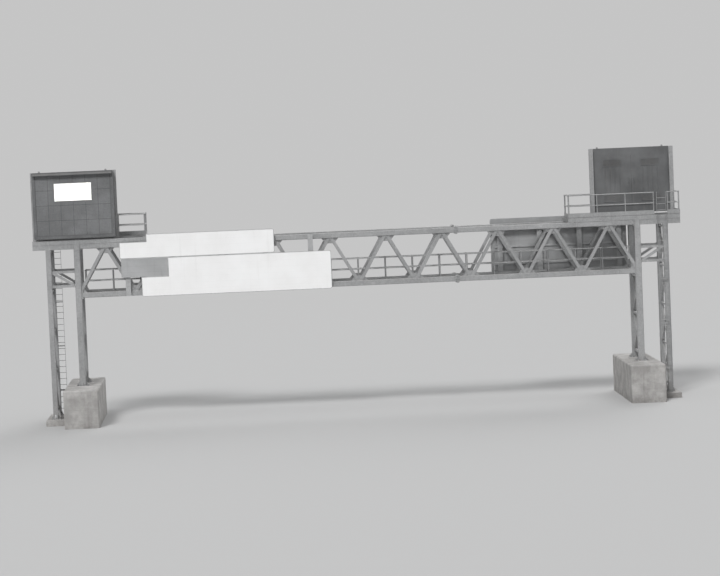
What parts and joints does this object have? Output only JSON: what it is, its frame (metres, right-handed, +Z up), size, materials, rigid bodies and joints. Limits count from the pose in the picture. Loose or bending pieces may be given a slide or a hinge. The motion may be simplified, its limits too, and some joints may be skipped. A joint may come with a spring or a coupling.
{
  "type": "overhead sign gantry",
  "caption": "Lattice portal gantry over a dual carriageway, with a box truss beam on leg trestles, message signs on end platforms and bare direction boards.",
  "frame": {"origin": "at ground level, midway between the two towers and midway between the front and the back truss", "axes": "+X along the beam towards the right tower, +Y along the road away from the left message sign's face, +Z up"},
  "size_m": [31.9, 7, 12.47],
  "materials": {
    "galvanised_steel": "dull galvanised, weathered",
    "steel_grating": "galvanised open grating",
    "concrete": "fair-faced concrete, stained",
    "dark_casing": "dark grey powder coat",
    "black_face": "matt black with rows of lamps",
    "lit_display": "lit lamps",
    "white_board": "bare reflective sheeting",
    "grey_board": "plain grey sheeting",
    "aluminium_rail": "mill finish, dull"
  },
  "bodies": {
    "root": {"back_truss": "galvanised_steel", "blank_plate": "grey_board", "bottom_bracing": "galvanised_steel", "cable_trunking": "galvanised_steel", "front_board_frame": "aluminium_rail", "front_truss": "galvanised_steel", "left_back_leg": "galvanised_steel", "left_cantilever": "galvanised_steel", "left_front_leg": "galvanised_steel", "left_guard_rail": "galvanised_steel", "left_ladder": "galvanised_steel", "left_leg_bracing": "galvanised_steel", "left_message_casing": "dark_casing", "left_message_display": "lit_display", "left_message_doors": "dark_casing", "left_message_face": "black_face", "left_message_posts": "galvanised_steel", "left_outer_footing": "concrete", "left_outer_frame": "galvanised_steel", "left_platform_deck": "steel_grating", "left_platform_frame": "galvanised_steel", "left_plinth": "concrete", "left_tie_frames": "galvanised_steel", "lower_board": "white_board", "rear_board": "grey_board", "rear_board_frame": "aluminium_rail", "right_back_leg": "galvanised_steel", "right_cantilever": "galvanised_steel", "right_front_leg": "galvanised_steel", "right_guard_rail": "galvanised_steel", "right_ladder": "galvanised_steel", "right_leg_bracing": "galvanised_steel", "right_message_casing": "dark_casing", "right_message_display": "lit_display", "right_message_doors": "dark_casing", "right_message_face": "black_face", "right_message_posts": "galvanised_steel", "right_outer_footing": "concrete", "right_outer_frame": "galvanised_steel", "right_platform_deck": "steel_grating", "right_platform_frame": "galvanised_steel", "right_plinth": "concrete", "right_tie_frames": "galvanised_steel", "top_bracing": "galvanised_steel", "upper_board": "white_board", "walkway_deck": "steel_grating", "walkway_rails": "galvanised_steel"}
  },
  "joints": []
}
